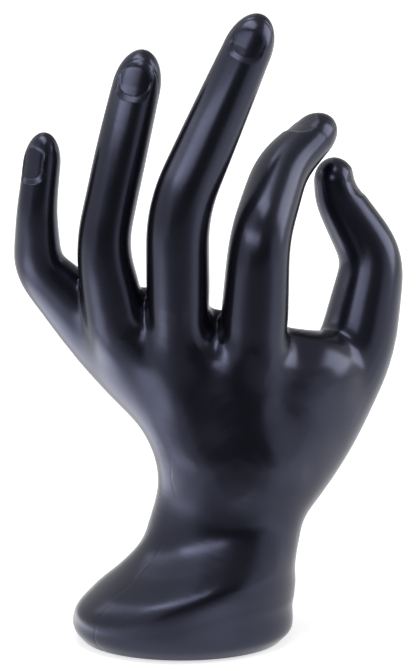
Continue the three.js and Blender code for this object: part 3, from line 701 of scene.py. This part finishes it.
# One half of the shell: its skin, the same skin moved in by the wall with its faces turned round, and a rim
# between
def makeShell(name, sign):
    own = tris[half == sign]
    used, back = np.unique(own, return_inverse=True)
    own = back.reshape(-1, 3)
    p, n, inwards = points[used], normals[used], innerWay[used]
    low = ramp(*shellWall["rimFrom"], p[:, 2])[:, None]
    level = unit(inwards * (1, 1, 0))
    thick = shellWall["thick"] + (shellWall["rim"] - shellWall["thick"]) * low
    inner = p - thick * unit(inwards * (1 - low) + level * low)
    _, lie, count = edgesOf(own)
    corner = np.stack([own, np.roll(own, -1, 1)], 2).reshape(-1, 2)
    a, b = corner[count[lie.reshape(-1)] == 1].T
    size = len(p)
    rims = np.vstack([np.stack([b, a, a + size], 1), np.stack([b, a + size, b + size], 1)])
    faces = np.vstack([own, own[:, ::-1] + size, rims])
    place = np.vstack([p, inner])
    mesh = bpy.data.meshes.new(name)
    mesh.vertices.add(len(place))
    mesh.vertices.foreach_set("co", (place * metre).astype(np.float32).ravel())
    mesh.loops.add(faces.size)
    mesh.loops.foreach_set("vertex_index", faces.astype(np.int32).ravel())
    mesh.polygons.add(len(faces))
    mesh.polygons.foreach_set("loop_start", np.arange(0, faces.size, 3, dtype=np.int32))
    mesh.polygons.foreach_set("use_smooth", np.ones(len(faces), bool))
    mesh.update(calc_edges=True)
    mesh.validate()
    one, two, three = (place[rims[:, k]] for k in range(3))
    flat = unit(np.cross(two - one, three - one))
    loops = np.vstack([n[own].reshape(-1, 3), -inwards[own[:, ::-1]].reshape(-1, 3), np.repeat(flat, 3, 0)])
    mesh.normals_split_custom_set(loops)
    shell = bpy.data.objects.new(name, mesh)
    bpy.context.collection.objects.link(shell)
    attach(shell, "root")
    print(name, len(faces), "triangles")
    return shell


backShell = makeShell("backShell", -1)
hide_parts("back_shell")
palmShell = makeShell("palmShell", 1)
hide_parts("palm_shell")


def newMaterial(name):
    material = bpy.data.materials.new(name)
    material.use_nodes = True
    tree = material.node_tree
    return material, tree, tree.nodes["Principled BSDF"]


# Node helpers: a step between two values, plain arithmetic, noise on Object coordinates that may be drawn
# out, and bump
def rangedNode(tree, value, low, high, atLow, atHigh, smooth=True):
    node = tree.nodes.new("ShaderNodeMapRange")
    node.interpolation_type = "SMOOTHSTEP" if smooth else "LINEAR"
    for name, number in (("From Min", low), ("From Max", high), ("To Min", atLow), ("To Max", atHigh)):
        node.inputs[name].default_value = number
    tree.links.new(value, node.inputs["Value"])
    return node.outputs["Result"]


def mathsNode(tree, operation, *values):
    node = tree.nodes.new("ShaderNodeMath")
    node.operation = operation
    for socket, value in zip(node.inputs, values):
        if isinstance(value, (int, float)):
            socket.default_value = value
        else:
            tree.links.new(value, socket)
    return node.outputs["Value"]


def noiseNode(tree, scale, detail, stretch=(1, 1, 1), tilt=0.0):
    place = tree.nodes.new("ShaderNodeTexCoord")
    mapping = tree.nodes.new("ShaderNodeMapping")
    mapping.vector_type = "TEXTURE"
    mapping.inputs["Rotation"].default_value = (0, math.radians(tilt), 0)
    mapping.inputs["Scale"].default_value = stretch
    noise = tree.nodes.new("ShaderNodeTexNoise")
    noise.inputs["Scale"].default_value = scale
    noise.inputs["Detail"].default_value = detail
    tree.links.new(place.outputs["Object"], mapping.inputs["Vector"])
    tree.links.new(mapping.outputs["Vector"], noise.inputs["Vector"])
    return noise.outputs["Fac"]


def bumpNode(tree, height, distance, normal=None):
    node = tree.nodes.new("ShaderNodeBump")
    node.inputs["Strength"].default_value = 1.0
    node.inputs["Distance"].default_value = distance
    tree.links.new(height, node.inputs["Height"])
    if normal:
        tree.links.new(normal, node.inputs["Normal"])
    return node.outputs["Normal"]


cloudSpread = (0.3, 0.7)  # the part of a noise's range that clouds use

# Blue-black moulded plastic: cloudy gloss, fine rubbing marks that run across the hand and down to the
# thumb's side, and a faint pebble
shellFinish = {
    "colour": (0.006, 0.006, 0.009), "tint": (0.62, 0.66, 1.0), "shine": 0.74, "rough": (0.225, 0.275),
    "cloud": 90.0, "streak": 800.0, "streakStretch": (16, 16, 1), "streakTilt": 18.0,
    "streakHeight": 0.000016, "grain": 1400.0, "grainHeight": 0.0000035,
}


def shellMaterial():
    material, tree, shader = newMaterial("glossBlackPlastic")
    finish = shellFinish
    shader.inputs["Base Color"].default_value = (*finish["colour"], 1)
    shader.inputs["Specular Tint"].default_value = (*finish["tint"], 1)
    shader.inputs["Specular IOR Level"].default_value = finish["shine"]
    cloud = noiseNode(tree, finish["cloud"], detail=6)
    rough = rangedNode(tree, cloud, *cloudSpread, *finish["rough"], smooth=False)
    tree.links.new(rough, shader.inputs["Roughness"])
    streak = noiseNode(tree, finish["streak"], detail=3, stretch=finish["streakStretch"],
                       tilt=finish["streakTilt"])
    rubbed = bumpNode(tree, streak, finish["streakHeight"])
    pebbled = bumpNode(tree, noiseNode(tree, finish["grain"], detail=2), finish["grainHeight"], rubbed)
    tree.links.new(pebbled, shader.inputs["Normal"])
    return material


glossBlack = shellMaterial()
for shell in (backShell, palmShell):
    shell.data.materials.append(glossBlack)
print("shell finished")


# Pad under the foot. Its outline is an oval drawn in by an inset, and its profile goes out along the
# underside, round two rounded edges and back along the top: radius = reach * share - edge, at a height.
restPadShape = {"halfWidth": 26.8, "halfDepth": 21.5, "inset": 3.0, "thick": 2.0, "round": 0.6, "turns": 144,
                "flats": 6, "firstFlat": 0.15, "rounds": 6}


def makeRestPad():
    shape = restPadShape
    turn = np.linspace(0, 2 * math.pi, shape["turns"], endpoint=False)
    inverse = np.hypot(np.cos(turn) / shape["halfWidth"], np.sin(turn) / shape["halfDepth"])
    reach = 1 / inverse - shape["inset"]
    share = np.linspace(shape["firstFlat"], 1, shape["flats"])[:-1]
    bend = np.linspace(0, math.pi / 2, shape["rounds"] + 1)
    out = np.concatenate([share, np.ones(len(bend))])
    edge = shape["round"] * np.concatenate([np.ones(len(share)), 1 - np.sin(bend)])
    rise = shape["round"] * np.concatenate([np.zeros(len(share)), 1 - np.cos(bend)])
    out, edge = (np.concatenate([row, row[::-1]]) for row in (out, edge))
    height = np.concatenate([rise, shape["thick"] - rise[::-1]])
    radius = out[:, None] * reach - edge[:, None]
    rings = np.stack([radius * np.cos(turn), radius * np.sin(turn), height[:, None] + 0 * radius], 2)
    count = len(turn)
    place = np.vstack([rings.reshape(-1, 3), [(0, 0, 0), (0, 0, shape["thick"])]])
    one = np.arange(len(out) - 1)[:, None] * count + np.arange(count)
    two = np.arange(len(out) - 1)[:, None] * count + np.roll(np.arange(count), -1)
    quads = np.stack([one, two, two + count, one + count], 2).reshape(-1, 4)
    first, last = np.arange(count), (len(out) - 1) * count + np.arange(count)
    under = np.stack([np.roll(first, -1), first, np.full(count, len(place) - 2)], 1)
    over = np.stack([last, np.roll(last, -1), np.full(count, len(place) - 1)], 1)
    mesh = bpy.data.meshes.new("restPad")
    mesh.from_pydata((place * metre).tolist(), [], quads.tolist() + under.tolist() + over.tolist())
    mesh.polygons.foreach_set("use_smooth", np.ones(len(mesh.polygons), bool))
    pad = bpy.data.objects.new("restPad", mesh)
    bpy.context.collection.objects.link(pad)
    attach(pad, "root")
    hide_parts("base_pad")
    return pad


restPad = makeRestPad()
print("pad made")

# Finishes under the foot: clouds between two tones, dull and bright patches with them, and grain that
# stands up
baseFinishes = {
    "pebbledRubber": {
        "tones": ((0.022, 0.022, 0.024), (0.038, 0.037, 0.038)), "metal": 0.0, "cloud": 110.0,
        "rough": (0.72, 0.86), "grain": 900.0, "grainHeight": 0.00022,
    },
    "mouldedBlackPlastic": {
        "tones": ((0.015, 0.015, 0.017), (0.025, 0.025, 0.027)), "metal": 0.0, "cloud": 70.0,
        "rough": (0.48, 0.6), "grain": 2400.0, "grainHeight": 0.00004,
    },
    "castIron": {
        "tones": ((0.055, 0.05, 0.046), (0.13, 0.125, 0.12)), "metal": 0.85, "cloud": 240.0,
        "rough": (0.5, 0.75), "grain": 1100.0, "grainHeight": 0.0002,
    },
    "zincPlatedSteel": {
        "tones": ((0.46, 0.47, 0.5), (0.62, 0.62, 0.62)), "metal": 1.0, "cloud": 500.0,
        "rough": (0.24, 0.38), "grain": 3500.0, "grainHeight": 0.00001,
    },
}
baseNodes = {"base_plate": "mouldedBlackPlastic", "ballast_bar": "castIron"}
baseNodes.update({f"base_screw_{n}": "zincPlatedSteel" for n in (1, 2, 3, 4)})
toneSpread = (0.35, 0.65)  # the part of it that goes from tone to tone


def grainedMaterial(name):
    finish = baseFinishes[name]
    material, tree, shader = newMaterial(name)
    shader.inputs["Metallic"].default_value = finish["metal"]
    cloud = noiseNode(tree, finish["cloud"], detail=5)
    tones = tree.nodes.new("ShaderNodeMix")
    tones.data_type = "RGBA"
    for side, tone in zip(("A", "B"), finish["tones"]):
        socket = next(i for i in tones.inputs if i.name == side and i.type == "RGBA")
        socket.default_value = (*tone, 1)
    tree.links.new(rangedNode(tree, cloud, *toneSpread, 0.0, 1.0), tones.inputs["Factor"])
    tree.links.new(next(o for o in tones.outputs if o.type == "RGBA"), shader.inputs["Base Color"])
    tree.links.new(rangedNode(tree, cloud, *cloudSpread, *finish["rough"]), shader.inputs["Roughness"])
    grain = bumpNode(tree, noiseNode(tree, finish["grain"], detail=3), finish["grainHeight"])
    tree.links.new(grain, shader.inputs["Normal"])
    return material


finished = {name: grainedMaterial(name) for name in baseFinishes}
restPad.data.materials.append(finished["pebbledRubber"])
for name, finish in baseNodes.items():
    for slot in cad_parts[name].material_slots:
        slot.material = finished[finish]
print("base finished")


# A white sheet to stand on. What the gloss mirrors of it is a painted glow: a level and soft patches of
# painted light and painted shade that only reflections show. Each patch has a place, a reach and what it adds
sheet = {"size": 3.0, "height": -0.0001, "glow": (0.64, 1.0), "glowFrom": (0.2, 0.9), "rough": 0.9,
         "paper": 0.85, "mirroredPaper": 0.3, "mirror": 1.04}
paintedLightAndShade = [
    {"at": (-0.12, 0.02, 0.0), "reach": (0.02, 0.1), "adds": 3.0},
    {"at": (-0.24, -0.14, 0.0), "reach": (0.06, 0.14), "adds": 2.3},
    {"at": (0.02, -0.15, 0.0), "reach": (0.06, 0.13), "adds": -0.8},
    {"at": (0.05, -1.3, 0.0), "reach": (0.95, 1.22), "adds": -1.0},
    {"at": (0.025, -0.06, 0.0), "reach": (0.005, 0.035), "adds": 0.6},
    {"at": (0.09, 0.0, 0.0), "reach": (0.03, 0.09), "adds": -0.25},
    {"at": (0.6, 0.05, 0.0), "reach": (0.0, 0.36), "adds": -0.45},
]


def makeFloor():
    reach, height = sheet["size"], sheet["height"]
    corners = [(x * reach, y * reach, height) for x, y in ((-1, -1), (1, -1), (1, 1), (-1, 1))]
    mesh = bpy.data.meshes.new("studioFloor")
    mesh.from_pydata(corners, [], [(0, 1, 2, 3)])
    floor = bpy.data.objects.new("studioFloor", mesh)
    bpy.context.collection.objects.link(floor)
    material, tree, shader = newMaterial("whiteSheet")
    nodes, links = tree.nodes, tree.links
    shader.inputs["Roughness"].default_value = sheet["rough"]
    shader.inputs["Emission Color"].default_value = (1, 1, 1, 1)
    path = nodes.new("ShaderNodeLightPath")
    glossy = path.outputs["Is Glossy Ray"]
    # Painted shade: glossy rays see the paper darker than the camera does, so the painted glow sets what
    # reflections show
    paper = rangedNode(tree, glossy, 0.0, 1.0, sheet["paper"], sheet["mirroredPaper"])
    links.new(paper, shader.inputs["Base Color"])
    place = nodes.new("ShaderNodeTexCoord")

    def distanceTo(point):
        node = nodes.new("ShaderNodeVectorMath")
        node.operation = "DISTANCE"
        node.inputs[1].default_value = point
        links.new(place.outputs["Object"], node.inputs[0])
        return node.outputs["Value"]

    # Painted reflection: for glossy rays only, the sheet glows with a level plus patches of painted light and
    # painted shade
    mirrored = sheet["mirror"]
    for patch in paintedLightAndShade:
        added = rangedNode(tree, distanceTo(patch["at"]), *patch["reach"], patch["adds"], 0.0)
        mirrored = mathsNode(tree, "ADD", mirrored, added)
    mirrored = mathsNode(tree, "MULTIPLY", mirrored, glossy)
    glow = rangedNode(tree, distanceTo((0.0, 0.0, 0.0)), *sheet["glowFrom"], *sheet["glow"])
    looking = mathsNode(tree, "MAXIMUM", path.outputs["Is Camera Ray"], path.outputs["Is Transmission Ray"])
    seen = mathsNode(tree, "MULTIPLY", glow, looking)
    links.new(mathsNode(tree, "ADD", mirrored, seen), shader.inputs["Emission Strength"])
    mesh.materials.append(material)


# The room that the gloss mirrors is a tent of white cloth, open towards the camera: turns in degrees from
# the camera, and heights in degrees where the right side grows dimmer and the ceiling begins
tent = {"left": 0.66, "leftFrom": (29, 38), "right": 0.8, "rightFrom": (40, 52), "rightTop": (16, 26),
        "rightDimmer": 0.4, "ceiling": 0.16, "ceilingFrom": (18, 28), "opening": 0.03, "ambient": 0.14}


def makeWorld():
    world = bpy.data.worlds.new("studioWorld")
    bpy.context.scene.world = world
    world.use_nodes = True
    tree = world.node_tree
    path = tree.nodes.new("ShaderNodeLightPath")
    place = tree.nodes.new("ShaderNodeTexCoord")
    axes = tree.nodes.new("ShaderNodeSeparateXYZ")
    tree.links.new(place.outputs["Generated"], axes.inputs["Vector"])
    turn = mathsNode(tree, "ARCTAN2", axes.outputs["X"], mathsNode(tree, "MULTIPLY", axes.outputs["Y"], -1.0))
    leftTurn = mathsNode(tree, "MULTIPLY", turn, -1.0)
    left = rangedNode(tree, leftTurn, *map(math.radians, tent["leftFrom"]), 0.0, tent["left"])
    right = rangedNode(tree, turn, *map(math.radians, tent["rightFrom"]), 0.0, tent["right"])
    rightTop, ceilingFrom = ([math.sin(math.radians(angle)) for angle in tent[name]]
                             for name in ("rightTop", "ceilingFrom"))
    dimmer = rangedNode(tree, axes.outputs["Z"], *rightTop, 1.0, tent["rightDimmer"])
    right = mathsNode(tree, "MULTIPLY", right, dimmer)
    ceiling = rangedNode(tree, axes.outputs["Z"], *ceilingFrom, tent["opening"], tent["ceiling"])
    mirrored = mathsNode(tree, "MAXIMUM", mathsNode(tree, "MAXIMUM", left, right), ceiling)
    shine = tree.nodes.new("ShaderNodeMix")
    shine.inputs["A"].default_value = tent["ambient"]
    tree.links.new(path.outputs["Is Glossy Ray"], shine.inputs["Factor"])
    tree.links.new(mirrored, shine.inputs["B"])
    white = tree.nodes.new("ShaderNodeMix")
    white.inputs["B"].default_value = 1.0
    seen = mathsNode(tree, "MAXIMUM", path.outputs["Is Camera Ray"], path.outputs["Is Transmission Ray"])
    tree.links.new(seen, white.inputs["Factor"])
    tree.links.new(shine.outputs["Result"], white.inputs["A"])
    background = tree.nodes["Background"]
    background.inputs["Color"].default_value = (1, 1, 1, 1)
    tree.links.new(white.outputs["Result"], background.inputs["Strength"])


lampsAim = (0.007, 0.0, 0.1)  # the middle of the hand, which the lamps face
# Softboxes by the way they lie from the hand: degrees to the right of the camera, degrees up, distance, and
# their size, turn and brightness where white paper is 1
lamps = [
    {"name": "topSoftbox", "right": -50, "up": 81, "far": 1.0,
     "size": (0.9, 0.36), "turn": 0, "bright": 4.0},
    {"name": "leftStrip", "right": -66, "up": 33, "far": 1.1,
     "size": (2.2, 0.16), "turn": 0, "bright": 1.9},
    {"name": "leftSoftbox", "right": -31, "up": 34, "far": 1.0,
     "size": (0.95, 0.18), "turn": 0, "bright": 3.8},
    {"name": "rightSoftbox", "right": 94, "up": 27, "far": 1.0,
     "size": (0.58, 0.66), "turn": 22, "bright": 3.4},
]


def makeLamps():
    for lamp in lamps:
        data = bpy.data.lights.new(lamp["name"], "AREA")
        data.shape = "RECTANGLE"
        data.size, data.size_y = lamp["size"]
        data.energy = lamp["bright"] * math.pi * data.size * data.size_y
        light = bpy.data.objects.new(lamp["name"], data)
        right, up = math.radians(lamp["right"]), math.radians(lamp["up"])
        way = Vector((math.sin(right) * math.cos(up), -math.cos(right) * math.cos(up), math.sin(up)))
        light.location = Vector(lampsAim) + lamp["far"] * way
        facing = (-way).to_track_quat("-Z", "Y").to_matrix().to_4x4()
        light.rotation_euler = (facing @ Matrix.Rotation(math.radians(lamp["turn"]), 4, "Z")).to_euler()
        light.visible_camera = False
        bpy.context.collection.objects.link(light)


makeFloor()
makeWorld()
makeLamps()
bpy.context.scene.view_settings.view_transform = "Standard"
print("studio lit")
